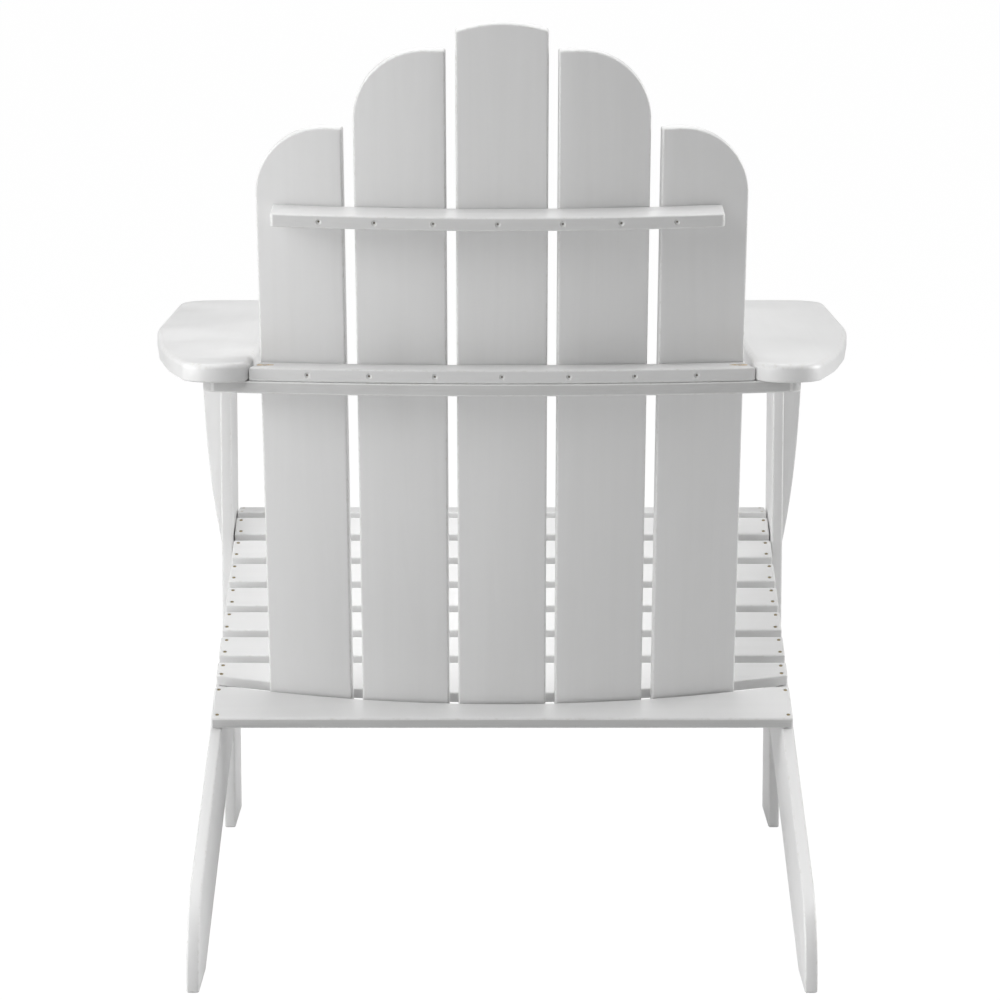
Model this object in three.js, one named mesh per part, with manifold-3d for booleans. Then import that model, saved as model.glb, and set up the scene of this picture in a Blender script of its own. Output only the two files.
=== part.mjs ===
// Adirondack chair in painted wood: straight sloping side boards that end in the back feet,
// a slatted seat, five flat back slats set on an arc, two bowed back rails and two wide arms.
//
// Millimetres, +Z up. The chair faces -Y, X runs across it. While it is drawn, "forward" is the
// distance ahead of the back of the rear feet, and the finished chair is then centred on Y, so
// that its origin is on the floor in the middle of its length and width.
import * as THREE from 'three';
import { mergeVertices } from 'three/addons/utils/BufferGeometryUtils.js';
import Module from 'manifold-3d';

const wasm = await Module();
wasm.setup();

const degrees = Math.PI / 180;
const fitGap = 0.3; // between two boards that touch

// Side boards (the stringers), which slope down to the back feet
const frameWidth = 589; // across the outer faces of the two side boards
const stringerThickness = 12;
const stringerWidth = 92;
const stringerFront = 736; // forward end
const seatSlope = 20.2 * degrees;
const seatLineHeight = 70; // height of the sloping top edge, carried back to the foot
const footRadius = 90; // round heel between the top edge and the back of the foot
const kneeForward = 711; // where the sloping top edge turns level for the front seat slat

// Front legs and the brackets that prop the arms
const legThickness = 12;
const legWidth = 97;
const legForward = 650; // back edge of the front legs
const armUnderside = 550; // height of the leg tops, and of everything that carries the arms
const bracketThickness = 12;
const bracketHeight = 236;
const bracketReach = 23; // how far it stands out at the top
const bracketFullness = 21.5; // reach of its curve's control point
const bracketWaist = 144; // depth of that control point under the arm
const bracketToe = 3; // blunt width of its lower tip

// Arms
const armThickness = 18;
const armBack = 194; // forward distance of the rear end
const armFront = 841;
const armInner = frameWidth / 2 - 50.5; // from the middle of the chair to the inner edge
const armOuter = frameWidth / 2 + 68.5;
const armNarrowing = [[288, 33], [385, 16], [530, 0]]; // forward, and how far the outer edge is in
const armRearNarrowing = 59.3;
const armTaperRadius = 500;
const armInnerRadius = 32;
const armRearRadius = 34;
const armFrontRadius = 42;

// Seat slats
const seatSlatThickness = 12;
const seatSlatWidth = 38.5;
const seatSlatGap = 12.8;
const slopingSlats = 7; // behind the level front slat
const kneeGap = 8.5; // from the knee to the first sloping slat
const seatSideGap = 1; // slat ends stop short of the side boards' outer faces
const apronThickness = 12;
const apronHeight = 62;

// Rear seat board, behind the back slats
const rearBoardThickness = 12;
const rearBoardBack = 332; // its rear edge, along the slope from the foot
const rearBoardFlat = 272; // half length of its bowed front edge, level beyond that
const slotClearance = 4; // ahead of the back slats
const lastSlatRadius = 1265; // of the last slat's hollow rear edge

// Back: flat slats tangent to an arc about a centre ahead of the chair
const recline = 15.8 * degrees; // from upright
const backRadius = 1158;
const backForward = 337; // rear face of the middle slat, at the seat's top
const backSlatThickness = 12;
const backSlatWidth = 88.2;
const outerSlatWidth = 85.5;
const backSlatPitch = 4.85 * degrees;
const backSlatDrop = 30; // below the seat's top
const middleSlatTop = 706.5; // shoulder of the crowned middle slat, up the back
const middleSlatCrown = 7.3;
const innerSlatTop = 687.3;
const outerSlatTop = 607.5;
const slatShoulderRadius = 70;

// Back rails and the board under them that joins the two arms
const railThickness = 13;
const lowerRailWidth = 48.5;
const lowerRailHalf = 245; // at its rear edge, tucked in at the arms' rounded corners
const railEndSlant = 8; // the ends draw in towards the slats
const upperRailWidth = 44.5;
const upperRailHalf = 216;
const upperRailUp = 531.6; // top edge against the slats, up the back
const upperRailTilt = 7.6 * degrees; // its front edge is the higher
const upperRailShift = 4.3; // it sits a little to the chair's right
const upperRailCorner = 4;
const supportThickness = 12;
const supportHalf = frameWidth / 2 - 3.5;
const supportCornerRadius = 16;

// Fasteners
const drillGap = 0.3; // around every screw and dowel
const screwHeadRadius = 2.6;
const screwHeadHeight = 2.2;
const screwShankRadius = 1.6;
const flushDepth = 0.4; // how far a plain screw head sits below the surface
const counterboreRadius = 3;
const counterboreDepth = 2;
const boardScrewLength = 21; // through one board and most of the way into the next
const slatBite = 8; // how far a rail screw enters its slat
const lowerRailScrews = [-188, -128, -64.5, 0, 64.5, 128, 188];
const upperRailScrews = [-166, -113, -57.5, 4, 65, 121, 174];
const endScrewInset = 14; // from the lower rail's end
const legScrews = [[26, -12], [71, 12]]; // ahead of the leg's back edge, above mid board
const bracketScrewDrops = [60, 140]; // below the arm
const supportScrewInset = 25; // outboard of the arm's inner edge
const supportScrewPitch = 24;
const armScrewLength = 25;
const dowelRadius = 4;
const dowelLength = 34;
const dowelInset = 26; // from the leg's edges
const dowelRise = 11; // how far a dowel enters the arm

const arcSteps = 16;
const cornerSteps = 8;
const roundSteps = 8;

const paint = new THREE.Color(0xe6e6e5);
const paintedWood = { color: paint, roughness: 0.45, metalness: 0 };
const zincSteel = { color: new THREE.Color(0x8d8b86), roughness: 0.4, metalness: 0.9 };
const bareWood = { color: new THREE.Color(0xc9b48c), roughness: 0.7, metalness: 0 };

const stringerOuter = frameWidth / 2;
const seatHalf = stringerOuter - seatSideGap;
const armTop = armUnderside + armThickness;
const kneeHeight = seatLineHeight + kneeForward * Math.tan(seatSlope);
const kneeAlong = kneeForward / Math.cos(seatSlope);
const chairDepth = armFront;
const backRise = (backForward * Math.sin(seatSlope) + seatSlatThickness) / Math.cos(seatSlope);
const backFoot = seatLineHeight + backRise; // height of the seat's top at the back slats

function finish(name, geometry, look) {
  const mesh = new THREE.Mesh(geometry, new THREE.MeshStandardMaterial(look));
  mesh.name = name;
  return mesh;
}

// A closed outline with tangent arcs at the corners that give a radius
function roundedOutline(corners) {
  const outline = new THREE.Shape();
  const count = corners.length;
  corners.forEach(([x, y, radius = 0], index) => {
    const here = new THREE.Vector2(x, y);
    const before = new THREE.Vector2(...corners[(index + count - 1) % count].slice(0, 2));
    const after = new THREE.Vector2(...corners[(index + 1) % count].slice(0, 2));
    const inward = before.sub(here).normalize();
    const outward = after.sub(here).normalize();
    const halfAngle = Math.acos(THREE.MathUtils.clamp(inward.dot(outward), -1, 1)) / 2;
    const setback = radius / Math.tan(halfAngle);
    const middle = inward.clone().add(outward).normalize();
    const centre = here.clone().addScaledVector(middle, radius / Math.sin(halfAngle));
    const start = here.clone().addScaledVector(inward, setback);
    const end = here.clone().addScaledVector(outward, setback);
    const steps = radius > 0 ? cornerSteps : 0;
    for (let step = 0; step <= steps; step += 1) {
      const chord = steps > 0 ? start.clone().lerp(end, step / steps) : here;
      const spoke = chord.clone().sub(centre).setLength(radius);
      const point = steps > 0 ? centre.clone().add(spoke) : here;
      if (index === 0 && step === 0) outline.moveTo(point.x, point.y);
      else outline.lineTo(point.x, point.y);
    }
  });
  return outline;
}

function extrude(outline, thickness) {
  return new THREE.ExtrudeGeometry(outline, { depth: thickness, bevelEnabled: false, steps: 1 });
}

// Outline x to the chair's right side, y forward, thickness down from the given height
function flatBoard(name, outline, thickness, top) {
  const geometry = extrude(outline, thickness);
  geometry.applyMatrix4(new THREE.Matrix4().makeBasis(
    new THREE.Vector3(1, 0, 0),
    new THREE.Vector3(0, -1, 0),
    new THREE.Vector3(0, 0, -1),
  ));
  geometry.translate(0, 0, top);
  return finish(name, geometry, paintedWood);
}

// Outline x forward, y up, thickness across the chair from the given x towards -X
function sideBoard(name, outline, thickness, x) {
  const geometry = extrude(outline, thickness);
  geometry.applyMatrix4(new THREE.Matrix4().makeBasis(
    new THREE.Vector3(0, -1, 0),
    new THREE.Vector3(0, 0, 1),
    new THREE.Vector3(-1, 0, 0),
  ));
  geometry.translate(x, 0, 0);
  return finish(name, geometry, paintedWood);
}

// How far an arc of this radius has come forward at a distance x from the middle
function bow(x, radius, stretch = 1) {
  return stretch * (radius - Math.sqrt(radius * radius - x * x));
}

function bowedEdge(half, radius, stretch, offset, shift = 0) {
  const points = [];
  for (let step = 0; step <= arcSteps; step += 1) {
    const x = shift + half * (2 * step / arcSteps - 1);
    points.push([x, offset + bow(x, radius, stretch)]);
  }
  return points;
}

// A board with concentric bowed edges. y = 0 is the middle of the front edge.
function bowedBoard(width, rearHalf, frontHalf, stretch, cornerRadius = 0, shift = 0) {
  const front = bowedEdge(frontHalf, backRadius, stretch, 0, shift).reverse();
  const rear = bowedEdge(rearHalf, backRadius + width, stretch, -width, shift);
  rear[0].push(cornerRadius);
  rear[rear.length - 1].push(cornerRadius);
  return roundedOutline([...rear, ...front]);
}

function mirrored(make) {
  return [make('left', -1), make('right', 1)];
}

function sideFrame() {
  const slope = Math.tan(seatSlope);
  const lowerDrop = stringerWidth / Math.cos(seatSlope);
  const footLength = (lowerDrop - seatLineHeight) / slope;
  const frontBottom = seatLineHeight - lowerDrop + stringerFront * slope;
  const outline = roundedOutline([
    [0, 0],
    [footLength, 0],
    [stringerFront, frontBottom],
    [stringerFront, kneeHeight],
    [kneeForward, kneeHeight],
    [0, seatLineHeight, footRadius],
  ]);
  const legOutline = roundedOutline([
    [legForward, 0],
    [legForward + legWidth, 0],
    [legForward + legWidth, armUnderside - fitGap],
    [legForward, armUnderside - fitGap],
  ]);
  const stringers = mirrored((side, sign) => {
    const x = sign > 0 ? stringerOuter : stringerThickness - stringerOuter;
    return sideBoard(`${side}_side_board`, outline, stringerThickness, x);
  });
  const legInner = stringerOuter + fitGap;
  const legs = mirrored((side, sign) => {
    const x = sign > 0 ? legInner + legThickness : -legInner;
    return sideBoard(`${side}_front_leg`, legOutline, legThickness, x);
  });
  return [...stringers, ...legs];
}

function brackets() {
  const inner = stringerOuter + legThickness + 2 * fitGap;
  const top = armUnderside - fitGap;
  const back = legForward + (legWidth - bracketThickness) / 2;
  const curve = new THREE.QuadraticBezierCurve(
    new THREE.Vector2(inner + bracketToe, top - bracketHeight),
    new THREE.Vector2(inner + bracketFullness, top - bracketWaist),
    new THREE.Vector2(inner + bracketReach, top),
  );
  return mirrored((side, sign) => {
    const outline = new THREE.Shape([
      new THREE.Vector2(inner, top - bracketHeight),
      ...curve.getPoints(arcSteps),
      new THREE.Vector2(inner, top),
    ].map((point) => new THREE.Vector2(sign * point.x, point.y)));
    const geometry = extrude(outline, bracketThickness);
    geometry.rotateX(Math.PI / 2);
    geometry.translate(0, -back, 0);
    return finish(`${side}_arm_bracket`, geometry, paintedWood);
  });
}

function arms() {
  return mirrored((side, sign) => {
    const corners = [
      [armInner, armBack, armInnerRadius],
      [armOuter - armRearNarrowing, armBack, armRearRadius],
      ...armNarrowing.map(([forward, inset]) => [armOuter - inset, forward, armTaperRadius]),
      [armOuter, armFront, armFrontRadius],
      [armInner, armFront, armFrontRadius / 2],
    ];
    const outline = roundedOutline(corners.map(([x, y, radius]) => [sign * x, y, radius]));
    return flatBoard(`${side}_arm`, outline, armThickness, armTop);
  });
}

function slatRectangle(half, rear, front) {
  return roundedOutline([[-half, rear], [half, rear], [half, front], [-half, front]]);
}

// Built in a frame whose y runs back down the slope and whose z is square to it
function seat() {
  const frame = new THREE.Group();
  frame.position.set(0, 0, seatLineHeight);
  frame.rotation.x = -seatSlope;
  const top = seatSlatThickness + fitGap;
  const pitch = seatSlatWidth + seatSlatGap;
  const tiltToBack = Math.tan(seatSlope - recline);
  const backFace = backForward / Math.cos(seatSlope) + seatSlatThickness * Math.tan(seatSlope);
  for (let index = 0; index < slopingSlats - 1; index += 1) {
    const front = kneeAlong - kneeGap - index * pitch;
    const outline = slatRectangle(seatHalf, front - seatSlatWidth, front);
    frame.add(flatBoard(`seat_slat_${index + 2}`, outline, seatSlatThickness, top));
  }
  const lastFront = kneeAlong - kneeGap - (slopingSlats - 1) * pitch;
  const lastRear = backFace + backSlatThickness + slotClearance + seatSlatThickness * tiltToBack;
  const lastOutline = roundedOutline([
    ...bowedEdge(seatHalf, lastSlatRadius, 1, lastRear),
    [seatHalf, lastFront],
    [-seatHalf, lastFront],
  ]);
  frame.add(flatBoard(`seat_slat_${slopingSlats + 1}`, lastOutline, seatSlatThickness, top));
  const lean = rearBoardThickness * tiltToBack;
  const boardFront = backFace - slatSetback(backSlatWidth) - lean - fitGap;
  const flatFront = boardFront + bow(rearBoardFlat, backRadius);
  const rearOutline = roundedOutline([
    [-seatHalf, rearBoardBack],
    [seatHalf, rearBoardBack],
    [seatHalf, flatFront],
    ...bowedEdge(rearBoardFlat, backRadius, 1, boardFront).reverse(),
    [-seatHalf, flatFront],
  ]);
  const boardTop = rearBoardThickness + fitGap;
  frame.add(flatBoard('rear_seat_board', rearOutline, rearBoardThickness, boardTop));
  return frame;
}

function seatFront() {
  const slatTop = kneeHeight + fitGap + seatSlatThickness;
  const slat = slatRectangle(seatHalf, kneeForward, kneeForward + seatSlatWidth);
  const apronRear = stringerFront + fitGap;
  const apron = slatRectangle(seatHalf, apronRear, apronRear + apronThickness);
  return [
    flatBoard('seat_slat_1', slat, seatSlatThickness, slatTop),
    flatBoard('front_apron', apron, apronHeight, kneeHeight),
  ];
}

// A flat slat's rear face touches a hollow arc at its two edges, so its middle stands clear
function slatSetback(width) {
  return bow(width / 2, backRadius) + fitGap;
}

function crownedTop(half, shoulder) {
  const radius = (half * half + middleSlatCrown * middleSlatCrown) / (2 * middleSlatCrown);
  const points = [];
  for (let step = 0; step <= arcSteps; step += 1) {
    const x = half * (1 - 2 * step / arcSteps);
    points.push([x, shoulder + middleSlatCrown - bow(x, radius)]);
  }
  return points;
}

function backSlat(name, place) {
  const width = Math.abs(place) === 2 ? outerSlatWidth : backSlatWidth;
  const half = width / 2;
  const outer = Math.sign(place);
  const top = Math.abs(place) === 2 ? outerSlatTop : innerSlatTop;
  const corners = place === 0
    ? [[-half, -backSlatDrop], [half, -backSlatDrop], ...crownedTop(half, middleSlatTop)]
    : [
      [-half * outer, -backSlatDrop],
      [half * outer, -backSlatDrop],
      [half * outer, top, slatShoulderRadius],
      [-half * outer, top],
    ];
  const geometry = extrude(roundedOutline(corners), backSlatThickness);
  geometry.rotateX(Math.PI / 2);
  geometry.translate(0, -slatSetback(width), 0);
  const slat = finish(name, geometry, paintedWood);
  const angle = place * backSlatPitch;
  const across = backRadius * Math.sin(angle);
  slat.position.set(across, -bow(across, backRadius), 0);
  slat.rotation.z = -angle;
  return slat;
}

// Built in a frame whose z runs up the back and whose y = 0 is the arc behind the slats
function back() {
  const frame = new THREE.Group();
  frame.position.set(0, -backForward + slatSetback(backSlatWidth), backFoot);
  frame.rotation.x = -recline;
  for (let place = -2; place <= 2; place += 1) {
    frame.add(backSlat(`back_slat_${place + 3}`, place));
  }
  const rail = new THREE.Group();
  rail.name = 'upper_rail_frame';
  rail.position.set(0, 0, upperRailUp);
  rail.rotation.x = recline - upperRailTilt;
  const stretch = 1 / Math.cos(recline - upperRailTilt);
  const outline = bowedBoard(upperRailWidth, upperRailHalf, upperRailHalf, stretch,
    upperRailCorner, upperRailShift);
  rail.add(flatBoard('upper_back_rail', outline, railThickness, 0));
  rail.add(...railScrews('upper_rail_screw', upperRailScrews, upperRailWidth, stretch));
  frame.add(rail);
  return frame;
}

function forwardOfBack(height) {
  return backForward - slatSetback(backSlatWidth) - (height - backFoot) * Math.tan(recline);
}

function armLevelBoards() {
  const stretch = 1 / Math.cos(recline);
  const railTop = armUnderside + railThickness;
  const railFront = forwardOfBack(railTop);
  const frontHalf = lowerRailHalf - railEndSlant;
  const railOutline = bowedBoard(lowerRailWidth, lowerRailHalf, frontHalf, stretch);
  const rail = flatBoard('lower_back_rail', railOutline, railThickness, railTop);
  rail.position.y = -railFront;
  const supportTop = armUnderside - fitGap;
  const supportFront = forwardOfBack(supportTop);
  const supportWidth = lowerRailWidth + supportFront - railFront;
  const supportOutline = bowedBoard(supportWidth, supportHalf, supportHalf, stretch,
    supportCornerRadius);
  const support = flatBoard('arm_support_rail', supportOutline, supportThickness, supportTop);
  support.position.y = -supportFront;
  const screws = new THREE.Group();
  screws.position.set(0, -railFront, railTop);
  screws.add(...railScrews('lower_rail_screw', lowerRailScrews, lowerRailWidth, stretch));
  return [rail, support, screws, ...endScrews(railFront, railTop), ...armScrews(supportFront)];
}

// A fastener lies along -Y from its origin, which is on the surface it is driven through
const fasteners = [];

function solidOf(geometry) {
  const plain = geometry.clone();
  plain.deleteAttribute('normal');
  plain.deleteAttribute('uv');
  const welded = mergeVertices(plain, 1e-5);
  return new wasm.Manifold(new wasm.Mesh({
    numProp: 3,
    vertProperties: new Float32Array(welded.attributes.position.array),
    triVerts: new Uint32Array(welded.index.array),
  }));
}

function geometryOf(solid) {
  const mesh = solid.getMesh();
  const geometry = new THREE.BufferGeometry();
  geometry.setAttribute('position', new THREE.BufferAttribute(mesh.vertProperties, 3));
  geometry.setIndex(new THREE.BufferAttribute(mesh.triVerts, 1));
  const faceted = geometry.toNonIndexed();
  faceted.computeVertexNormals();
  return faceted;
}

function steppedRod(lengths) {
  const solids = lengths.map(([startRadius, endRadius, start, end]) => {
    const geometry = new THREE.CylinderGeometry(startRadius, endRadius, end - start, roundSteps);
    geometry.translate(0, -(start + end) / 2, 0);
    return solidOf(geometry);
  });
  return wasm.Manifold.union(solids);
}

function fastener(name, rod, hole, look, boards) {
  const mesh = finish(name, geometryOf(steppedRod(rod)), look);
  fasteners.push({ mesh, hole: steppedRod(hole), boards });
  return mesh;
}

function woodScrew(name, length, depth, boreRadius, boards) {
  const neck = depth + screwHeadHeight;
  const rod = [
    [screwHeadRadius, screwShankRadius, depth, neck],
    [screwShankRadius, screwShankRadius, neck, length],
  ];
  const holeRadius = screwShankRadius + drillGap;
  const hole = [
    [boreRadius, boreRadius, -1, neck + drillGap],
    [holeRadius, holeRadius, neck + drillGap, length + drillGap],
  ];
  return fastener(name, rod, hole, zincSteel, boards);
}

function plainScrew(name, length, boards) {
  return woodScrew(name, length, flushDepth, screwHeadRadius + drillGap, boards);
}

// Driven from the rail's rear edge through deep counterbores into the slats
function railScrews(name, places, width, stretch) {
  const rail = name.startsWith('upper') ? 'upper_back_rail' : 'lower_back_rail';
  return places.map((x, index) => {
    const slat = 3 + Math.round(Math.asin(x / backRadius) / backSlatPitch);
    const boards = [rail, `back_slat_${slat}`];
    const length = width + slatSetback(backSlatWidth) + slatBite;
    const screw = woodScrew(`${name}_${index + 1}`, length, counterboreDepth,
      counterboreRadius, boards);
    screw.position.set(x, width - bow(x, backRadius + width, stretch), -railThickness / 2);
    return screw;
  });
}

// Straight down through the lower rail's ends into the arm support
function endScrews(railFront, railTop) {
  return [-1, 1].map((sign, index) => {
    const screw = plainScrew(`rail_end_screw_${index + 1}`, boardScrewLength,
      ['lower_back_rail', 'arm_support_rail']);
    const x = lowerRailHalf - endScrewInset;
    const forward = railFront - lowerRailWidth / 2 + bow(x, backRadius, 1);
    screw.position.set(sign * x, -forward, railTop);
    screw.rotation.x = Math.PI / 2;
    return screw;
  });
}

// Up through the arm support into the arms
function armScrews(supportFront) {
  const x = armInner + supportScrewInset;
  const middle = supportFront - lowerRailWidth / 2 + bow(x, backRadius, 1);
  const screws = [];
  for (const [side, sign] of [['left', -1], ['right', 1]]) {
    for (const end of [-1, 1]) {
      const screw = plainScrew(`arm_screw_${screws.length + 1}`, armScrewLength,
        ['arm_support_rail', `${side}_arm`]);
      const forward = middle + end * supportScrewPitch / 2;
      screw.position.set(sign * x, -forward, armUnderside - fitGap - supportThickness);
      screw.rotation.x = -Math.PI / 2;
      screws.push(screw);
    }
  }
  return screws;
}

function legFasteners() {
  const outerFace = stringerOuter + fitGap + legThickness;
  const innerFace = stringerOuter + fitGap;
  const midDrop = stringerWidth / Math.cos(seatSlope) / 2;
  const pieces = [];
  for (const [side, sign] of [['left', -1], ['right', 1]]) {
    const leg = `${side}_front_leg`;
    legScrews.forEach(([ahead, rise], index) => {
      const screw = plainScrew(`${side}_leg_screw_${index + 1}`, boardScrewLength,
        [leg, `${side}_side_board`]);
      const forward = legForward + ahead;
      const height = seatLineHeight + forward * Math.tan(seatSlope) - midDrop + rise;
      screw.position.set(sign * outerFace, -forward, height);
      screw.rotation.z = -sign * Math.PI / 2;
      pieces.push(screw);
    });
    bracketScrewDrops.forEach((drop, index) => {
      const screw = plainScrew(`${side}_bracket_screw_${index + 1}`, boardScrewLength,
        [leg, `${side}_arm_bracket`]);
      screw.position.set(sign * innerFace, -legForward - legWidth / 2, armUnderside - drop);
      screw.rotation.z = sign * Math.PI / 2;
      pieces.push(screw);
    });
    [dowelInset, legWidth - dowelInset].forEach((ahead, index) => {
      const rod = [[dowelRadius, dowelRadius, 0, dowelLength]];
      const wide = dowelRadius + drillGap;
      const hole = [[wide, wide, -drillGap, dowelLength + drillGap]];
      const dowel = fastener(`${side}_arm_dowel_${index + 1}`, rod, hole, bareWood,
        [leg, `${side}_arm`]);
      const x = sign * (outerFace + innerFace) / 2;
      dowel.position.set(x, -legForward - ahead, armUnderside + dowelRise);
      dowel.rotation.x = Math.PI / 2;
      pieces.push(dowel);
    });
  }
  return pieces;
}

// Cut every fastener's hole out of the boards it passes through
function drill(root) {
  root.updateMatrixWorld(true);
  const cutters = new Map();
  for (const { mesh, hole, boards } of fasteners) {
    for (const name of boards) {
      const board = root.getObjectByName(name);
      const toBoard = board.matrixWorld.clone().invert().multiply(mesh.matrixWorld);
      const cutter = hole.transform(toBoard.elements);
      cutters.set(board, [...(cutters.get(board) ?? []), cutter]);
    }
  }
  for (const [board, solids] of cutters) {
    const cut = solidOf(board.geometry).subtract(wasm.Manifold.union(solids));
    board.geometry = geometryOf(cut);
  }
}

const chair = new THREE.Group();
const assembly = new THREE.Group();
assembly.position.y = chairDepth / 2;
chair.add(assembly);
assembly.add(...sideFrame(), ...brackets(), ...arms(), ...seatFront(), ...armLevelBoards());
assembly.add(seat(), back(), ...legFasteners());
drill(chair);

export default chair;
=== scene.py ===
import bpy
import bmesh
import itertools
import math
import random
from mathutils import Matrix, Vector


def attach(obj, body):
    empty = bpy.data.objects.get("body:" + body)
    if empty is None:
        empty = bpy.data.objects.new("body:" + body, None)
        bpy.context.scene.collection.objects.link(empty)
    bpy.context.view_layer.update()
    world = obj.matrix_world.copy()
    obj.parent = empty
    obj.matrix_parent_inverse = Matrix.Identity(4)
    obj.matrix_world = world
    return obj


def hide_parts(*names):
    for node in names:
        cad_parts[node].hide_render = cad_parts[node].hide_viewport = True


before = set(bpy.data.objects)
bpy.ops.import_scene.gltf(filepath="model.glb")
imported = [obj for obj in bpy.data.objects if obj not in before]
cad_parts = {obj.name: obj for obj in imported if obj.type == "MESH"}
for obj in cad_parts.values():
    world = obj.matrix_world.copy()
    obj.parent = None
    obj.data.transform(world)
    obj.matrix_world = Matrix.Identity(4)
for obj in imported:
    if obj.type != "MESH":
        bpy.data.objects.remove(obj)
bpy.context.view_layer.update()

mm = 0.001
chair = {"depth": 841, "seatSlope": 20.2, "recline": 15.8, "backRadius": 1158, "gap": 0.3}
slope = math.radians(chair["seatSlope"])
recline = math.radians(chair["recline"])
middle = chair["depth"] / 2
toFloor = Matrix.Translation((0, middle * mm, 0))
rng = random.Random(7)


def basis(u, v, w, at=(0, 0, 0)):
    m = Matrix((u, v, w)).transposed().to_4x4()
    m.translation = Vector(at) * mm
    return m


def turn(axis, angle):
    return Matrix.Rotation(angle, 4, axis)


def move(x, y, z):
    return Matrix.Translation(Vector((x, y, z)) * mm)


# materials: paint, screws and bare wood

def newMaterial(name):
    mat = bpy.data.materials.new(name)
    mat.use_nodes = True
    nodes = mat.node_tree.nodes
    nodes.clear()
    out = nodes.new("ShaderNodeOutputMaterial")
    shader = nodes.new("ShaderNodeBsdfPrincipled")
    mat.node_tree.links.new(shader.outputs[0], out.inputs[0])
    return mat, nodes, mat.node_tree.links, shader


def noise(nodes, links, vector, scale, detail=3.0, rough=0.55, distort=0.0):
    n = nodes.new("ShaderNodeTexNoise")
    n.inputs["Scale"].default_value = scale
    n.inputs["Detail"].default_value = detail
    n.inputs["Roughness"].default_value = rough
    n.inputs["Distortion"].default_value = distort
    links.new(vector, n.inputs["Vector"])
    return n.outputs["Fac"]


def ramp(nodes, links, source, stops):
    r = nodes.new("ShaderNodeValToRGB")
    while len(r.color_ramp.elements) < len(stops):
        r.color_ramp.elements.new(0.5)
    for element, (place, color) in zip(r.color_ramp.elements, stops):
        element.position = place
        element.color = color if len(color) == 4 else (*color, 1)
    links.new(source, r.inputs[0])
    return r.outputs[0]


def mapRange(nodes, links, source, low, high, toLow, toHigh):
    r = nodes.new("ShaderNodeMapRange")
    for name, value in zip(("From Min", "From Max", "To Min", "To Max"),
                           (low, high, toLow, toHigh)):
        r.inputs[name].default_value = value
    links.new(source, r.inputs["Value"])
    return r.outputs[0]


def mixColor(nodes, links, factor, a, b, blend="MIX"):
    m = nodes.new("ShaderNodeMix")
    m.data_type = "RGBA"
    m.blend_type = blend
    for socket, value in ((m.inputs[0], factor), (m.inputs[6], a), (m.inputs[7], b)):
        if isinstance(value, (int, float)):
            socket.default_value = value
        elif isinstance(value, tuple):
            socket.default_value = value if len(value) == 4 else (*value, 1)
        else:
            links.new(value, socket)
    return m.outputs[2]


def math2(nodes, links, kind, a, b):
    m = nodes.new("ShaderNodeMath")
    m.operation = kind
    for socket, value in ((m.inputs[0], a), (m.inputs[1], b)):
        if isinstance(value, (int, float)):
            socket.default_value = value
        else:
            links.new(value, socket)
    return m.outputs[0]


def grainVector(nodes, links, stretch):
    where = nodes.new("ShaderNodeAttribute")
    where.attribute_name = "grain"
    scaled = nodes.new("ShaderNodeMapping")
    scaled.inputs["Scale"].default_value = stretch
    links.new(where.outputs["Vector"], scaled.inputs["Vector"])
    return scaled.outputs[0]


paint = {
    "white": (0.83, 0.83, 0.828),
    "shade": (0.812, 0.812, 0.809),   # where the coat is thinner over the dark grain
    "worn": (0.70, 0.69, 0.66),     # rubbed edges
    "edgeShade": (0.60, 0.60, 0.595),    # painted shade greying the boards' narrow edge faces, which face away from the light
    "roughness": (0.30, 0.44),
    "grainDepth": 0.00010,
    "brushDepth": 0.00005,
}


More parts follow.
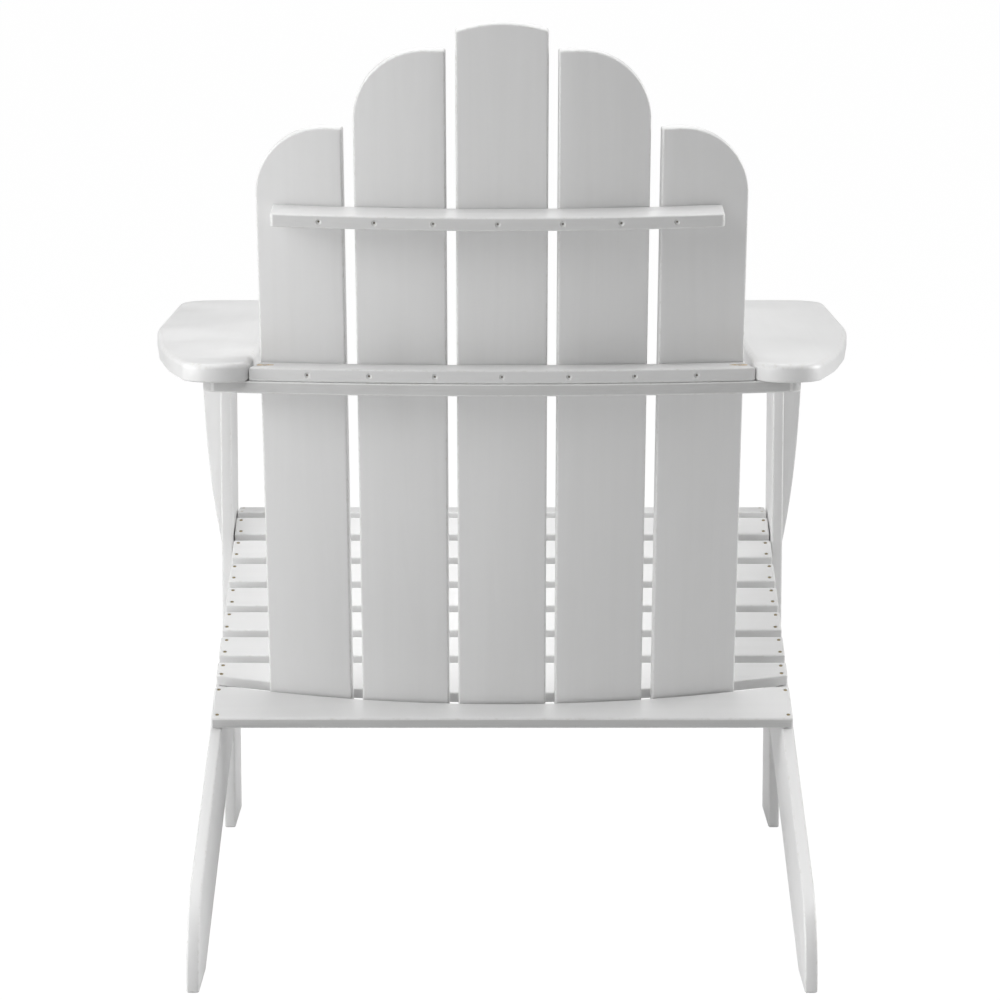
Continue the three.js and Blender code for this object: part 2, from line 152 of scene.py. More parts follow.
def paintedWood(name, show=1.0):
    mat, nodes, links, shader = newMaterial(name)
    along = grainVector(nodes, links, (2.2, 46, 46))
    fine = grainVector(nodes, links, (9, 420, 420))
    plain = grainVector(nodes, links, (1, 1, 1))
    figure = noise(nodes, links, along, 1.0, 4, 0.6, 1.6)
    pores = noise(nodes, links, fine, 1.0, 2, 0.5, 0.2)
    brush = noise(nodes, links, grainVector(nodes, links, (14, 700, 700)), 1.0, 1, 0.4)
    clouds = noise(nodes, links, plain, 9, 3, 0.5)
    coat = noise(nodes, links, plain, 900, 2, 0.5)
    # knots: rare dark eyes that stretch along the board
    eyes = nodes.new("ShaderNodeTexVoronoi")
    eyes.inputs["Scale"].default_value = 1.0
    links.new(grainVector(nodes, links, (2.0, 9, 9)), eyes.inputs["Vector"])
    knot = mapRange(nodes, links, eyes.outputs["Distance"], 0.02, 0.16, 1.0, 0.0)
    tone = ramp(nodes, links, figure, [(0.36, paint["shade"]), (0.62, paint["white"])])
    tone = mixColor(nodes, links, mapRange(nodes, links, clouds, 0.3, 0.7, 0.0, 0.35),
                    tone, tuple(c * 0.975 for c in paint["white"]))
    tone = mixColor(nodes, links, math2(nodes, links, "MULTIPLY", knot, 0.30 * show),
                    tone, tuple(c * 0.93 for c in paint["shade"]))
    rim = nodes.new("ShaderNodeAttribute")
    rim.attribute_name = "rim"
    rub = noise(nodes, links, plain, 160, 4, 0.65)
    rubbed = mapRange(nodes, links, rub, 0.50, 0.72, 0.0, 0.7)
    wear = math2(nodes, links, "MULTIPLY", rim.outputs["Fac"], rubbed)
    tone = mixColor(nodes, links, wear, tone, paint["worn"])
    # painted shade: the narrow edge faces are greyed, most on the rear board and arm support
    edge = nodes.new("ShaderNodeAttribute")
    edge.attribute_name = "edgeShade"
    paintedEdgeShade = math2(nodes, links, "MULTIPLY", edge.outputs["Fac"],
                   mapRange(nodes, links, pores, 0.3, 0.7, 0.8, 1.0))
    tone = mixColor(nodes, links, paintedEdgeShade, tone, paint["edgeShade"])
    links.new(tone, shader.inputs["Base Color"])
    low, high = paint["roughness"]
    rough = mapRange(nodes, links, clouds, 0.3, 0.7, low, high)
    rough = math2(nodes, links, "ADD", rough, math2(nodes, links, "MULTIPLY", wear, 0.18))
    links.new(rough, shader.inputs["Roughness"])
    shader.inputs["Specular IOR Level"].default_value = 0.5
    shader.inputs["Coat Weight"].default_value = 0.12
    shader.inputs["Coat Roughness"].default_value = 0.22
    height = math2(nodes, links, "MULTIPLY", figure, 0.8 * show)
    height = math2(nodes, links, "ADD", height, math2(nodes, links, "MULTIPLY", pores, 0.5))
    grainBump = nodes.new("ShaderNodeBump")
    grainBump.inputs["Strength"].default_value = 0.55
    grainBump.inputs["Distance"].default_value = paint["grainDepth"]
    links.new(height, grainBump.inputs["Height"])
    coatBump = nodes.new("ShaderNodeBump")
    coatBump.inputs["Strength"].default_value = 0.4
    coatBump.inputs["Distance"].default_value = paint["brushDepth"]
    links.new(math2(nodes, links, "ADD", brush, coat), coatBump.inputs["Height"])
    links.new(grainBump.outputs[0], coatBump.inputs["Normal"])
    links.new(coatBump.outputs[0], shader.inputs["Normal"])
    return mat


def metalFinish(name, color, tarnish, roughness):
    mat, nodes, links, shader = newMaterial(name)
    where = nodes.new("ShaderNodeTexCoord").outputs["Object"]
    spots = noise(nodes, links, where, 900, 3, 0.6)
    turned = noise(nodes, links, where, 3200, 1, 0.5)
    tone = mixColor(nodes, links, mapRange(nodes, links, spots, 0.42, 0.66, 0, 1), color, tarnish)
    links.new(tone, shader.inputs["Base Color"])
    links.new(mapRange(nodes, links, spots, 0.3, 0.7, roughness, roughness + 0.25),
              shader.inputs["Roughness"])
    shader.inputs["Metallic"].default_value = 0.9
    bump = nodes.new("ShaderNodeBump")
    bump.inputs["Strength"].default_value = 0.3
    bump.inputs["Distance"].default_value = 0.00004
    links.new(turned, bump.inputs["Height"])
    links.new(bump.outputs[0], shader.inputs["Normal"])
    return mat


def woodFinish(name, pale, dark):
    mat, nodes, links, shader = newMaterial(name)
    where = nodes.new("ShaderNodeTexCoord").outputs["Object"]
    scaled = nodes.new("ShaderNodeMapping")
    scaled.inputs["Scale"].default_value = (60, 700, 700)
    links.new(where, scaled.inputs["Vector"])
    rings = noise(nodes, links, scaled.outputs[0], 1.0, 4, 0.6, 0.8)
    fibres = noise(nodes, links, where, 2200, 2, 0.5)
    tone = ramp(nodes, links, rings, [(0.35, dark), (0.65, pale)])
    links.new(tone, shader.inputs["Base Color"])
    links.new(mapRange(nodes, links, fibres, 0.3, 0.7, 0.62, 0.85), shader.inputs["Roughness"])
    bump = nodes.new("ShaderNodeBump")
    bump.inputs["Strength"].default_value = 0.5
    bump.inputs["Distance"].default_value = 0.0001
    links.new(rings, bump.inputs["Height"])
    links.new(bump.outputs[0], shader.inputs["Normal"])
    return mat


satinPaint = paintedWood("satin white paint")
figuredPaint = paintedWood("satin white paint over bold grain", 1.6)
calmPaint = paintedWood("satin white paint, well filled", 0.3)
zincScrew = metalFinish("dull zinc", (0.34, 0.33, 0.30), (0.16, 0.13, 0.09), 0.38)
brassScrew = metalFinish("tarnished brass plate", (0.52, 0.44, 0.27), (0.26, 0.21, 0.13), 0.45)
pinWood = woodFinish("unpainted dowel", (0.62, 0.49, 0.31), (0.44, 0.31, 0.17))
bareWood = woodFinish("wood where the paint is off", (0.74, 0.58, 0.38), (0.54, 0.37, 0.19))
print("materials ready")


# boards, built from the sizes above their code

def rounded(corners, steps=14):
    outline = []
    count = len(corners)
    for index, corner in enumerate(corners):
        here = Vector(corner[:2])
        radius = corner[2] if len(corner) > 2 else 0
        if not radius:
            outline.append(here)
            continue
        inward = (Vector(corners[index - 1][:2]) - here).normalized()
        outward = (Vector(corners[(index + 1) % count][:2]) - here).normalized()
        half = inward.angle(outward) / 2
        centre = here + (inward + outward).normalized() * radius / math.sin(half)
        start = here + inward * radius / math.tan(half)
        end = here + outward * radius / math.tan(half)
        for step in range(steps + 1):
            spoke = (start.lerp(end, step / steps) - centre).normalized() * radius
            outline.append(centre + spoke)
    return outline


def bow(x, radius, stretch=1.0):
    return stretch * (radius - math.sqrt(radius * radius - x * x))


def bowedEdge(half, radius, stretch, offset, shift=0.0, steps=40):
    xs = [shift + half * (2 * step / steps - 1) for step in range(steps + 1)]
    return [(x, offset + bow(x, radius, stretch)) for x in xs]


def drillCutters(cutters):
    # one mesh of pits, each (matrix, radius, depth), boring along -Y; round ones add their ball
    bm = bmesh.new()
    for matrix, radius, depth, *ball in cutters:
        if ball:
            made = bmesh.ops.create_uvsphere(bm, u_segments=28, v_segments=20, radius=radius * mm)
            fit = matrix @ move(0, radius - depth, 0) @ turn("X", math.pi / 2)
            bmesh.ops.transform(bm, matrix=fit, verts=made["verts"])
            continue
        made = bmesh.ops.create_cone(bm, cap_ends=True, segments=24, radius1=radius * mm,
                                     radius2=radius * mm, depth=(depth + 2) * mm)
        fit = matrix @ turn("X", math.pi / 2) @ move(0, 0, (depth - 2) / 2)
        bmesh.ops.transform(bm, matrix=fit, verts=made["verts"])
    mesh = bpy.data.meshes.new("pits")
    bm.to_mesh(mesh)
    bm.free()
    return bpy.data.objects.new("pits", mesh)


def applied(obj):
    bpy.context.view_layer.update()
    graph = bpy.context.evaluated_depsgraph_get()
    done = bpy.data.meshes.new_from_object(obj.evaluated_get(graph))
    obj.modifiers.clear()
    obj.data = done
    return obj


def board(name, outline, thickness, place, ease=2.0, along=(1, 0), nodes=None, mat=None,
          pits=(), topEase=None, edgeShade=0.0):
    # outline in mm in the board's own plane; the board's thickness runs along its own +Z
    bm = bmesh.new()
    low = [bm.verts.new((p[0] * mm, p[1] * mm, 0)) for p in outline]
    high = [bm.verts.new((p[0] * mm, p[1] * mm, thickness * mm)) for p in outline]
    bm.faces.new(list(reversed(low)))
    bm.faces.new(high)
    for index in range(len(low)):
        after = (index + 1) % len(low)
        bm.faces.new((low[index], low[after], high[after], high[index]))
    bmesh.ops.recalc_face_normals(bm, faces=bm.faces)
    if topEase:
        # the seen face first, with the larger round
        rimEdges = [e for e in bm.edges if all(v in low for v in e.verts)]
        bmesh.ops.bevel(bm, geom=rimEdges, offset=topEase * mm, segments=7, profile=0.5,
                        affect="EDGES", clamp_overlap=True)
    mesh = bpy.data.meshes.new(name)
    bm.to_mesh(mesh)
    bm.free()
    obj = bpy.data.objects.new(name, mesh)
    bpy.context.scene.collection.objects.link(obj)
    obj.matrix_world = place
    bevel = obj.modifiers.new("eased edges", "BEVEL")
    bevel.width = ease * mm
    bevel.segments = 4
    bevel.limit_method = "ANGLE"
    bevel.angle_limit = math.radians(28)
    bevel.use_clamp_overlap = True
    applied(obj)
    if pits:
        cutter = drillCutters(pits)
        bpy.context.scene.collection.objects.link(cutter)
        cutter.matrix_world = place
        bpy.context.view_layer.update()
        cut = obj.modifiers.new("pits", "BOOLEAN")
        cut.object = cutter
        cut.solver = "EXACT"
        applied(obj)
        bpy.data.objects.remove(cutter)
    finishBoard(obj, along, edgeShade)
    obj.data.materials.clear()
    obj.data.materials.append(mat or satinPaint)
    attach(obj, "root")
    if nodes:
        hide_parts(*nodes)
    return obj


def finishBoard(obj, along, edgeShade):
    mesh = obj.data
    u = Vector(along).normalized()
    v = Vector((-u.y, u.x))
    offset = Vector((rng.uniform(0, 9), rng.uniform(0, 9), rng.uniform(0, 9)))
    mesh.attributes.new("grain", "FLOAT_VECTOR", "POINT")
    mesh.attributes.new("rim", "FLOAT", "POINT")
    mesh.attributes.new("edgeShade", "FLOAT", "POINT")
    grain = mesh.attributes["grain"]
    rim = mesh.attributes["rim"]
    edge = mesh.attributes["edgeShade"]
    # the eased rims are the only narrow faces, so a point with no wide face beside it is on one
    bm = bmesh.new()
    bm.from_mesh(mesh)
    wide = {face: 2 * face.calc_area() / face.calc_perimeter() > 1.5 * mm for face in bm.faces}
    for vert in bm.verts:
        p = vert.co
        flat = Vector((p.x, p.y))
        grain.data[vert.index].vector = Vector((flat.dot(u), flat.dot(v), p.z)) + offset
        onRim = not any(wide[face] for face in vert.link_faces)
        rim.data[vert.index].value = 1.0 if onRim else 0.0
        # points on the wide edge faces carry the painted edge shade, its strength set per board
        onEdge = any(wide[face] and abs(face.normal.z) < 0.5 for face in vert.link_faces)
        edge.data[vert.index].value = edgeShade if onEdge else 0.0
    bm.free()
    for polygon in mesh.polygons:
        polygon.use_smooth = True
    mesh.set_sharp_from_angle(angle=math.radians(32))


def flat(top):
    return basis((1, 0, 0), (0, -1, 0), (0, 0, -1), (0, 0, top))


def upright(x):
    return basis((0, -1, 0), (0, 0, 1), (-1, 0, 0), (x, 0, 0))


frameWork = {
    "outer": 294.5, "thickness": 12, "width": 92, "front": 736, "lineHeight": 70,
    "heelRadius": 90, "knee": 711, "legWidth": 97, "legBack": 650, "armUnderside": 550,
    "ease": 2.2, "footRadius": 6, "legScrews": ((26, -12), (71, 12)), "legPit": (3.2, 0.9),
}
kneeHeight = frameWork["lineHeight"] + frameWork["knee"] * math.tan(slope)
kneeAlong = frameWork["knee"] / math.cos(slope)
lowerDrop = frameWork["width"] / math.cos(slope)


def makeFrame():
    f = frameWork
    footLength = (lowerDrop - f["lineHeight"]) / math.tan(slope)
    outline = rounded([
        (0, 0), (footLength, 0, f["footRadius"]),
        (f["front"], f["lineHeight"] - lowerDrop + f["front"] * math.tan(slope)),
        (f["front"], kneeHeight), (f["knee"], kneeHeight), (0, f["lineHeight"], f["heelRadius"]),
    ], 24)
    top = f["armUnderside"] - chair["gap"]
    legOutline = rounded([(f["legBack"], 0), (f["legBack"] + f["legWidth"], 0),
                          (f["legBack"] + f["legWidth"], top), (f["legBack"], top)])
    for side, sign in (("left", -1), ("right", 1)):
        x = f["outer"] if sign > 0 else f["thickness"] - f["outer"]
        board(f"{side}_side", outline, f["thickness"], toFloor @ upright(x), f["ease"],
              (math.cos(slope), math.sin(slope)), [f"{side}_side_board"])
        inner = f["outer"] + chair["gap"]
        x = inner + f["thickness"] if sign > 0 else -inner
        pits = []
        for ahead, rise in f["legScrews"]:
            forward = f["legBack"] + ahead
            height = f["lineHeight"] + forward * math.tan(slope) - lowerDrop / 2 + rise
            depth = 0 if sign > 0 else f["thickness"]
            pits.append((Matrix.Translation(Vector((forward, height, depth)) * mm)
                         @ pitAxis(sign), *f["legPit"]))
        board(f"{side}_leg", legOutline, f["thickness"], toFloor @ upright(x), f["ease"],
              (0, 1), [f"{side}_front_leg"], pits=pits)


def pitAxis(sign):
    # turns the pit's -Y to the board's own +Z or -Z
    return turn("X", -math.pi / 2 if sign > 0 else math.pi / 2)


bracketShape = {"thickness": 12, "height": 236, "reach": 23, "fullness": 21.5, "waist": 144,
                "toe": 3, "ease": 1.8}


def makeBrackets():
    b = bracketShape
    inner = frameWork["outer"] + frameWork["thickness"] + 2 * chair["gap"]
    top = frameWork["armUnderside"] - chair["gap"]
    back = frameWork["legBack"] + (frameWork["legWidth"] - b["thickness"]) / 2
    a = Vector((inner + b["toe"], top - b["height"]))
    c = Vector((inner + b["fullness"], top - b["waist"]))
    e = Vector((inner + b["reach"], top))
    curve = [a * (1 - t) ** 2 + c * 2 * t * (1 - t) + e * t * t for t in
             (step / 40 for step in range(41))]
    for side, sign in (("left", -1), ("right", 1)):
        outline = [(sign * p[0], p[1]) for p in [(inner, top - b["height"])]
                   + [tuple(p) for p in curve] + [(inner, top)]]
        place = basis((1, 0, 0), (0, 0, 1), (0, -1, 0), (0, -back, 0))
        board(f"{side}_bracket", outline, b["thickness"], toFloor @ place, b["ease"], (0, 1),
              [f"{side}_arm_bracket"])


armShape = {
    "thickness": 18, "back": 194, "front": 841, "inner": 244, "outer": 363,
    "narrowing": ((288, 33), (385, 16), (530, 0)), "rearNarrowing": 59.3, "taperRadius": 500,
    "innerRadius": 32, "rearRadius": 34, "frontRadius": 42, "topEase": 6.0, "ease": 2.2,
}


def makeArms():
    a = armShape
    top = frameWork["armUnderside"] + a["thickness"]
    for side, sign in (("left", -1), ("right", 1)):
        corners = [(a["inner"], a["back"], a["innerRadius"]),
                   (a["outer"] - a["rearNarrowing"], a["back"], a["rearRadius"])]
        corners += [(a["outer"] - inset, forward, a["taperRadius"])
                    for forward, inset in a["narrowing"]]
        corners += [(a["outer"], a["front"], a["frontRadius"]),
                    (a["inner"], a["front"], a["frontRadius"] / 2)]
        outline = rounded([(sign * x, y, r) for x, y, r in corners], 18)
        board(f"{side}_arm_board", outline, a["thickness"], toFloor @ flat(top), a["ease"],
              (0, 1), [f"{side}_arm"], mat=calmPaint, topEase=a["topEase"])


seatShape = {
    "thickness": 12, "width": 38.5, "gap": 12.8, "sloping": 7, "kneeGap": 8.5, "half": 293.5,
    "apron": (12, 62), "rearBack": 332, "rearFlat": 272, "slot": 4, "lastRadius": 1265, "ease": 1.8,
    "screwFromFront": 6.0, "screwFromRear": 8.0, "lastFromRear": 4.0, "screwX": 288.0,
    "screwSink": 0.25, "rearEase": 2.2, "apronEase": 2.0,
}
backShape = {
    "forward": 337, "thickness": 12, "width": 88.2, "outerWidth": 85.5, "pitch": 4.85,
    "drop": 30, "middleTop": 706.5, "crown": 7.3, "innerTop": 687.3, "outerTop": 607.5,
    "shoulder": 70, "ease": 2.2,
}


def setback(width):
    return bow(width / 2, chair["backRadius"]) + chair["gap"]


def oblong(half, rear, front):
    return [(-half, rear), (half, rear), (half, front), (-half, front)]


def seatScrews(name, frameMatrix, front, rear, top, fromRear=None):
    # small brass-plated screws, sunk a little, near both ends
    s = seatShape
    pits = []
    rows = (front - s["screwFromFront"], rear + (fromRear or s["screwFromRear"]))
    for sign in (-1, 1):
        for row in rows:
            jitterX = rng.uniform(-1.2, 1.2)
            jitterY = rng.uniform(-0.8, 0.8)
            x = sign * s["screwX"] + jitterX
            y = row + jitterY
            pits.append((x, y))
            screwHead(f"{name}_screw", frameMatrix @ move(x, -y, top - s["screwSink"]))
    return pits


screwShape = {
    "radius": 1.75, "slot": 0.4, "slotDepth": 0.45, "slotReach": 1.3, "crown": 0.24,
    # share of the radius, and height, from the buried end up over the dome
    "profile": ((1.0, -1.2), (1.0, 0.0), (0.92, 0.12), (0.62, 0.2), (0.2, 0.24)),
    "segments": 20,
}
screwNumbers = itertools.count(1)


def screwHead(name, place):
    # a domed head with a cross cut into it, turned at random
    s = screwShape
    bm = bmesh.new()
    segments = s["segments"]
    loops = []
    for share, z in s["profile"]:
        radius = s["radius"] * share
        loops.append([bm.verts.new((radius * math.cos(i * math.tau / segments) * mm,
                                    radius * math.sin(i * math.tau / segments) * mm, z * mm))
                      for i in range(segments)])
    for low, high in zip(loops, loops[1:]):
        for i in range(segments):
            j = (i + 1) % segments
            bm.faces.new((low[i], low[j], high[j], high[i]))
    bm.faces.new(list(reversed(loops[0])))
    bm.faces.new(loops[-1])
    for face in bm.faces:
        face.smooth = True
    mesh = bpy.data.meshes.new(name)
    bm.to_mesh(mesh)
    bm.free()
    obj = bpy.data.objects.new(f"{name}_{next(screwNumbers)}", mesh)
    bpy.context.scene.collection.objects.link(obj)
    obj.matrix_world = place @ turn("Z", rng.uniform(0, math.pi))
    cross = bmesh.new()
    for angle in (0, math.pi / 2):
        made = bmesh.ops.create_cube(cross, size=1.0)
        size = Matrix.Diagonal((s["radius"] * s["slotReach"] * mm, s["slot"] * mm,
                                s["slotDepth"] * 2 * mm, 1))
        bmesh.ops.transform(cross, matrix=turn("Z", angle) @ move(0, 0, s["crown"]) @ size,
                            verts=made["verts"])
    crossMesh = bpy.data.meshes.new("cross")
    cross.to_mesh(crossMesh)
    cross.free()
    cutter = bpy.data.objects.new("cross", crossMesh)
    bpy.context.scene.collection.objects.link(cutter)
    cutter.matrix_world = obj.matrix_world
    cut = obj.modifiers.new("cross", "BOOLEAN")
    cut.object = cutter
    cut.solver = "EXACT"
    cut.use_self = True
    applied(obj)
    bpy.data.objects.remove(cutter)
    obj.data.materials.clear()
    obj.data.materials.append(brassScrew)
    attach(obj, "root")
    return obj


def slatPits(pits, radius=2.15, depth=1.2):
    return [(move(x, y, 0) @ turn("X", -math.pi / 2), radius, depth) for x, y in pits]


def seatMeasures():
    s = seatShape
    seatFrame = toFloor @ move(0, 0, frameWork["lineHeight"]) @ turn("X", -slope)
    top = s["thickness"] + chair["gap"]
    backFace = backShape["forward"] / math.cos(slope) + s["thickness"] * math.tan(slope)
    return seatFrame, top, backFace


def slatFront(index):
    s = seatShape
    return kneeAlong - s["kneeGap"] - index * (s["width"] + s["gap"])


def makeSlopingSlats():
    s = seatShape
    seatFrame, top, _ = seatMeasures()
    for index in range(s["sloping"] - 1):
        front = slatFront(index)
        rear = front - s["width"]
        pits = seatScrews(f"slat_{index + 2}", seatFrame, front, rear, top)
        board(f"seat_board_{index + 2}", oblong(s["half"], rear, front), s["thickness"],
              seatFrame @ flat(top), s["ease"], (1, 0), [f"seat_slat_{index + 2}"],
              pits=slatPits(pits))


def makeLastSlat():
    s = seatShape
    seatFrame, top, backFace = seatMeasures()
    lean = math.tan(slope - recline)
    front = slatFront(s["sloping"] - 1)
    rear = backFace + backShape["thickness"] + s["slot"] + s["thickness"] * lean
    outline = bowedEdge(s["half"], s["lastRadius"], 1, rear)
    outline += [(s["half"], front), (-s["half"], front)]
    endRear = rear + bow(s["half"], s["lastRadius"])
    pits = seatScrews("slat_last", seatFrame, front, endRear, top, s["lastFromRear"])
    board("seat_board_last", outline, s["thickness"], seatFrame @ flat(top), s["ease"], (1, 0),
          [f"seat_slat_{s['sloping'] + 1}"], pits=slatPits(pits))


def makeRearBoard():
    s = seatShape
    seatFrame, top, backFace = seatMeasures()
    lean = math.tan(slope - recline)
    boardFront = backFace - setback(backShape["width"]) - s["thickness"] * lean - chair["gap"]
    flatFront = boardFront + bow(s["rearFlat"], chair["backRadius"])
    outline = [(-s["half"], s["rearBack"]), (s["half"], s["rearBack"]), (s["half"], flatFront)]
    outline += list(reversed(bowedEdge(s["rearFlat"], chair["backRadius"], 1, boardFront)))
    outline += [(-s["half"], flatFront)]
    pits = seatScrews("rear_board", seatFrame, flatFront, s["rearBack"], top)
    board("rear_board", outline, s["thickness"], seatFrame @ flat(top), s["rearEase"], (1, 0),
          ["rear_seat_board"], mat=figuredPaint, pits=slatPits(pits), edgeShade=1.0)


def makeSeatFront():
    s = seatShape
    slatTop = kneeHeight + chair["gap"] + s["thickness"]
    front = frameWork["knee"] + s["width"]
    pits = seatScrews("slat_front", toFloor, front, frameWork["knee"], slatTop)
    board("seat_board_front", oblong(s["half"], frameWork["knee"], front), s["thickness"],
          toFloor @ flat(slatTop), s["ease"], (1, 0), ["seat_slat_1"], pits=slatPits(pits))
    thick, tall = s["apron"]
    rear = frameWork["front"] + chair["gap"]
    board("apron_board", oblong(s["half"], rear, rear + thick), tall, toFloor @ flat(kneeHeight),
          s["apronEase"], (1, 0), ["front_apron"])


def makeBack():
    b = backShape
    radius = chair["backRadius"]
    backRise = (b["forward"] * math.sin(slope) + seatShape["thickness"]) / math.cos(slope)
    backFoot = frameWork["lineHeight"] + backRise
    backFrame = toFloor @ move(0, -b["forward"] + setback(b["width"]), backFoot)
    backFrame = backFrame @ turn("X", -recline)
    for place in range(-2, 3):
        side = (place > 0) - (place < 0)
        width = b["outerWidth"] if abs(place) == 2 else b["width"]
        half = width / 2
        if place == 0:
            arc = (half * half + b["crown"] ** 2) / (2 * b["crown"])
            xs = [half * (1 - 2 * step / 40) for step in range(41)]
            crown = [(x, b["middleTop"] + b["crown"] - bow(x, arc)) for x in xs]
            corners = [(-half, -b["drop"]), (half, -b["drop"])] + crown
        else:
            top = b["outerTop"] if abs(place) == 2 else b["innerTop"]
            corners = [(-half * side, -b["drop"]), (half * side, -b["drop"]),
                       (half * side, top, b["shoulder"]), (-half * side, top)]
        angle = place * math.radians(b["pitch"])
        across = radius * math.sin(angle)
        stand = move(across, -bow(across, radius), 0) @ turn("Z", -angle)
        own = basis((1, 0, 0), (0, 0, 1), (0, -1, 0), (0, -setback(width), 0))
        board(f"slat_board_{place + 3}", rounded(corners, 36), b["thickness"],
              backFrame @ stand @ own, b["ease"], (0, 1), [f"back_slat_{place + 3}"],
              mat=figuredPaint)
    return backFrame, backFoot


railShape = {
    "thickness": 13, "lowerWidth": 48.5, "lowerHalf": 245, "endSlant": 8,
    "upperWidth": 44.5, "upperHalf": 216, "upperUp": 531.6, "upperTilt": 7.6,
    "upperShift": 4.3, "upperCorner": 4, "supportThickness": 12, "supportHalf": 291,
    "supportCorner": 16, "ease": 1.8, "dimple": 3.0, "dimpleDepth": 2.2,
    "endInset": 14, "endPit": (3.4, 1.6),
    "lowerScrews": (-188, -128, -64.5, 0, 64.5, 128, 188),
    "upperScrews": (-166, -113, -57.5, 4, 65, 121, 174),
}


def bowedBoard(width, rearHalf, frontHalf, stretch, corner=0, shift=0):
    radius = chair["backRadius"]
    front = list(reversed(bowedEdge(frontHalf, radius, stretch, 0, shift)))
    rear = bowedEdge(rearHalf, radius + width, stretch, -width, shift)
    if corner:
        rear[0] = (*rear[0], corner)
        rear[-1] = (*rear[-1], corner)
        # the first points beside a rounded corner would crowd it
        rear = [rear[0]] + rear[2:-2] + [rear[-1]]
    return rounded(rear + front, 12)


def railPits(xs, width, stretch):
    r = railShape
    pits = []
    for x in xs:
        edge = -width + bow(x, chair["backRadius"] + width, stretch)
        pits.append((move(x, edge, r["thickness"] / 2) @ turn("Z", math.pi), r["dimple"],
                     r["dimpleDepth"], "ball"))
    return pits


def slatsForward(height, backFoot):
    # forward distance of the slats' rear faces at a height
    return (backShape["forward"] - setback(backShape["width"])
            - (height - backFoot) * math.tan(recline))


def makeUpperRail(backFrame):
    r = railShape
    tilt = recline - math.radians(r["upperTilt"])
    stretch = 1 / math.cos(tilt)
    railFrame = backFrame @ move(0, 0, r["upperUp"]) @ turn("X", tilt)
    outline = bowedBoard(r["upperWidth"], r["upperHalf"], r["upperHalf"], stretch,
                         r["upperCorner"], r["upperShift"])
    board("upper_rail", outline, r["thickness"], railFrame @ flat(0), r["ease"], (1, 0),
          ["upper_back_rail"], mat=figuredPaint,
          pits=railPits(r["upperScrews"], r["upperWidth"], stretch), edgeShade=0.5)


def makeLowerRail(backFoot):
    r = railShape
    stretch = 1 / math.cos(recline)
    railTop = frameWork["armUnderside"] + r["thickness"]
    outline = bowedBoard(r["lowerWidth"], r["lowerHalf"], r["lowerHalf"] - r["endSlant"], stretch)
    place = toFloor @ move(0, -slatsForward(railTop, backFoot), 0) @ flat(railTop)
    pits = railPits(r["lowerScrews"], r["lowerWidth"], stretch)
    endX = r["lowerHalf"] - r["endInset"]
    endY = bow(endX, chair["backRadius"]) - r["lowerWidth"] / 2
    for sign in (-1, 1):
        pits.append((move(sign * endX, endY, 0) @ turn("X", -math.pi / 2), *r["endPit"]))
    board("lower_rail", outline, r["thickness"], place, r["ease"], (1, 0), ["lower_back_rail"],
          mat=figuredPaint, pits=pits, edgeShade=0.35)
    for side, sign in (("left", -1), ("right", 1)):
        barePatch(f"{side}_bare_patch", place, sign * endX, endY)


def makeArmSupport(backFoot):
    r = railShape
    stretch = 1 / math.cos(recline)
    railFront = slatsForward(frameWork["armUnderside"] + r["thickness"], backFoot)
    supportTop = frameWork["armUnderside"] - chair["gap"]
    supportFront = slatsForward(supportTop, backFoot)
    outline = bowedBoard(r["lowerWidth"] + supportFront - railFront, r["supportHalf"],
                         r["supportHalf"], stretch, r["supportCorner"])
    board("arm_support", outline, r["supportThickness"],
          toFloor @ move(0, -supportFront, 0) @ flat(supportTop), r["ease"], (1, 0),
          ["arm_support_rail"], edgeShade=0.95)


patchShape = {"long": 17, "wide": 11, "hole": 3.4, "rise": 0.06, "ragged": 0.18, "flake": 0.05,
              "points": 60}


def barePatch(name, place, x, y):
    # a ragged oval ring of wood where the paint broke away round the screw
    p = patchShape
    bm = bmesh.new()
    count = p["points"]
    inner = []
    outer = []
    for i in range(count):
        angle = i * math.tau / count
        wobble = 1 + p["ragged"] * (0.6 * math.sin(3 * angle + x) + 0.4 * math.sin(7 * angle + 1))
        outer.append(bm.verts.new(((x + p["long"] / 2 * math.cos(angle) * wobble) * mm,
                                   (y + p["wide"] / 2 * math.sin(angle) * wobble) * mm,
                                   -p["rise"] * mm)))
        inner.append(bm.verts.new(((x + p["hole"] * math.cos(angle)) * mm,
                                   (y + p["hole"] * math.sin(angle)) * mm, -p["rise"] * mm)))
    for i in range(count):
        j = (i + 1) % count
        bm.faces.new((inner[i], inner[j], outer[j], outer[i]))
    bmesh.ops.recalc_face_normals(bm, faces=bm.faces)
    mesh = bpy.data.meshes.new(name)
    bm.to_mesh(mesh)
    bm.free()
    obj = bpy.data.objects.new(name, mesh)
    bpy.context.scene.collection.objects.link(obj)
    obj.matrix_world = place
    solid = obj.modifiers.new("flake", "SOLIDIFY")
    solid.thickness = p["flake"] * mm
    solid.offset = 0
    applied(obj)
    obj.data.materials.clear()
    obj.data.materials.append(bareWood)
    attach(obj, "root")


makeFrame()
makeBrackets()
makeArms()
print("frame and arms built")
makeSlopingSlats()
makeLastSlat()
makeRearBoard()
makeSeatFront()
print("seat built")
backFrame, backFoot = makeBack()
makeUpperRail(backFrame)
makeLowerRail(backFoot)
makeArmSupport(backFoot)
print("back and rails built")

for name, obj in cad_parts.items():
    if "dowel" in name:
        obj.data.materials.clear()
        obj.data.materials.append(pinWood)
    elif "screw" in name:
        obj.data.materials.clear()
        obj.data.materials.append(zincScrew)

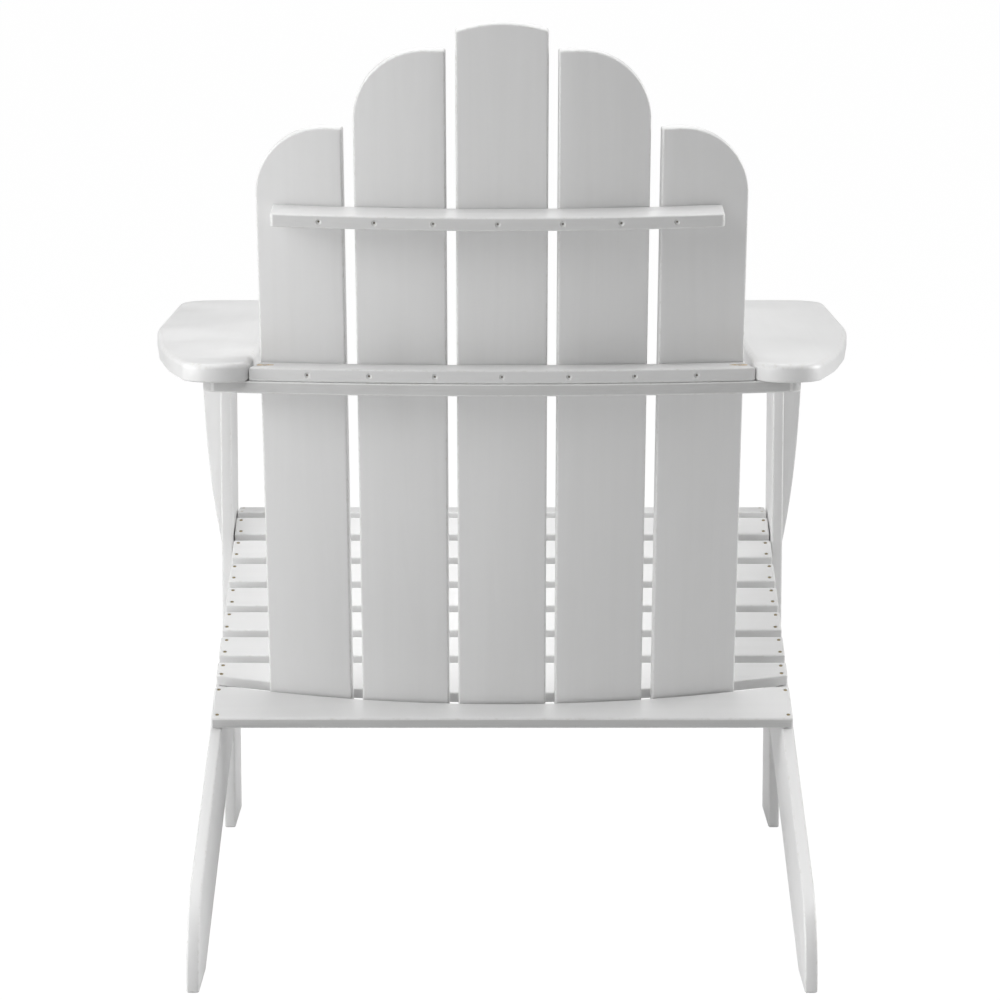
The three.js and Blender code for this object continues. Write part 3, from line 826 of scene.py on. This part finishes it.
# floor, light and camera
studio = {
    "floor": (0.62, 0.62, 0.62), "glow": 1.06, "glowShare": 0.93, "surround": 0.204,
    "aim": (0, 0, 0.45), "lens": 132.7, "sensor": 36, "shift": -0.002,
    "eye": (0, 3.7513, 0.9715), "lookDown": 8.636,
    # place, size and watts of each soft light, all aimed above the seat
    "lights": {
        "left side": ((3.3, 1.2, 1.3), 2.2, 55),
        "left behind": ((2.2, 3.0, 2.6), 2.2, 34),
        "overhead": ((0, 0.2, 3.4), 2.8, 50),
        "right edge": ((-3.3, -0.6, 1.5), 2.0, 78),
        "left edge": ((3.3, -0.8, 1.5), 2.0, 26),
        "high front": ((0, -3.0, 3.0), 2.4, 24),
    },
}


def makeFloor():
    bm = bmesh.new()
    bmesh.ops.create_grid(bm, x_segments=1, y_segments=1, size=400)
    mesh = bpy.data.meshes.new("floor")
    bm.to_mesh(mesh)
    bm.free()
    floor = bpy.data.objects.new("floor", mesh)
    bpy.context.scene.collection.objects.link(floor)
    mat, nodes, links, shader = newMaterial("pale floor")
    where = nodes.new("ShaderNodeTexCoord").outputs["Object"]
    dust = noise(nodes, links, where, 3, 3, 0.5)
    tone = ramp(nodes, links, dust, [(0.3, tuple(c * 0.985 for c in studio["floor"])),
                                     (0.7, studio["floor"])])
    links.new(tone, shader.inputs["Base Color"])
    shader.inputs["Roughness"].default_value = 0.85
    # to the camera the floor is a bright sweep, but it lights the chair as a dull floor would
    glow = nodes.new("ShaderNodeEmission")
    glow.inputs[0].default_value = (1, 1, 1, 1)
    glow.inputs[1].default_value = studio["glow"]
    sight = nodes.new("ShaderNodeLightPath").outputs["Is Camera Ray"]
    blend = nodes.new("ShaderNodeMixShader")
    links.new(math2(nodes, links, "MULTIPLY", sight, studio["glowShare"]), blend.inputs[0])
    links.new(shader.outputs[0], blend.inputs[1])
    links.new(glow.outputs[0], blend.inputs[2])
    # nothing hides the chair from below
    clear = nodes.new("ShaderNodeBsdfTransparent")
    under = nodes.new("ShaderNodeMixShader")
    links.new(nodes.new("ShaderNodeNewGeometry").outputs["Backfacing"], under.inputs[0])
    links.new(blend.outputs[0], under.inputs[1])
    links.new(clear.outputs[0], under.inputs[2])
    links.new(under.outputs[0], nodes["Material Output"].inputs[0])
    floor.data.materials.append(mat)


def softLight(name, at, size, power):
    light = bpy.data.lights.new(name, "AREA")
    light.shape = "SQUARE"
    light.size = size
    light.energy = power
    lamp = bpy.data.objects.new(name, light)
    bpy.context.scene.collection.objects.link(lamp)
    lamp.location = at
    aim = Vector(studio["aim"]) - Vector(at)
    lamp.rotation_euler = aim.to_track_quat("-Z", "Y").to_euler()


def makeStudio():
    makeFloor()
    world = bpy.data.worlds.new("studio")
    world.use_nodes = True
    sky = world.node_tree.nodes["Background"]
    sky.inputs[0].default_value = (1, 1, 1, 1)
    sky.inputs[1].default_value = studio["surround"]
    bpy.context.scene.world = world
    for name, (at, size, power) in studio["lights"].items():
        softLight(name, at, size, power)
    lens = bpy.data.cameras.new("camera")
    lens.sensor_width = studio["sensor"]
    lens.lens = studio["lens"]
    lens.shift_x = studio["shift"]
    camera = bpy.data.objects.new("camera", lens)
    bpy.context.scene.collection.objects.link(camera)
    camera.location = studio["eye"]
    camera.rotation_euler = (math.radians(90 - studio["lookDown"]), 0, math.radians(180))
    bpy.context.scene.camera = camera
    bpy.context.scene.view_settings.view_transform = "Standard"


makeStudio()
print("studio ready")
bpy.context.view_layer.update()
